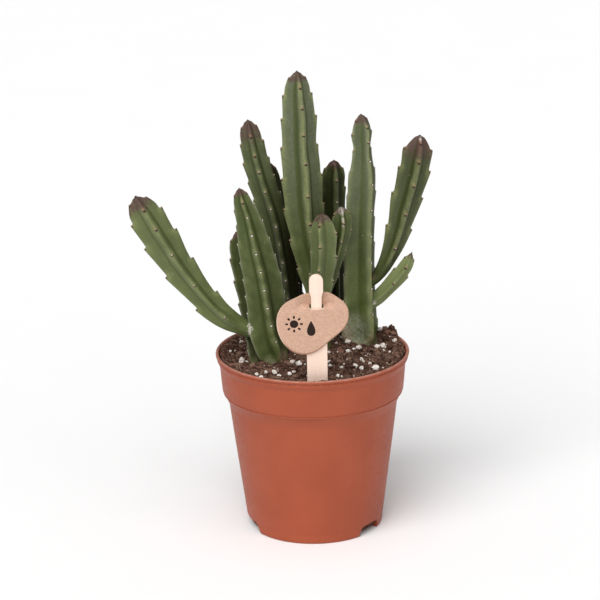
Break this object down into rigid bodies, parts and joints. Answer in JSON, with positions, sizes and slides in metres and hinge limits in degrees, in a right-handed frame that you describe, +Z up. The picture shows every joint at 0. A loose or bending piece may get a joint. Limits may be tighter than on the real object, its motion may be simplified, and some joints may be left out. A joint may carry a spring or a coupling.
{
  "type": "potted carrion flower",
  "caption": "Upright four-ribbed succulent stems with small teeth in a tapered plastic nursery pot, with a card label on a wooden stick.",
  "frame": {"origin": "middle of the pot's flat underside, on the surface that it stands on", "axes": "+Z up along the pot's axis; the label faces -Y; +X to the right seen from the label's side"},
  "size_m": [0.1386, 0.09, 0.2137],
  "materials": {
    "pot": "satin",
    "soil": "matte",
    "stem": "satin",
    "stick": "matte",
    "card": "matte"
  },
  "bodies": {
    "root": {"pot": "pot", "soil": "soil", "stem_center": "stem", "stem_left_tall": "stem", "stem_front_left": "stem", "stem_left_low": "stem", "stem_back_left": "stem", "stem_back_right": "stem", "stem_right": "stem", "label_stick": "stick", "label_card": "card"}
  },
  "joints": []
}
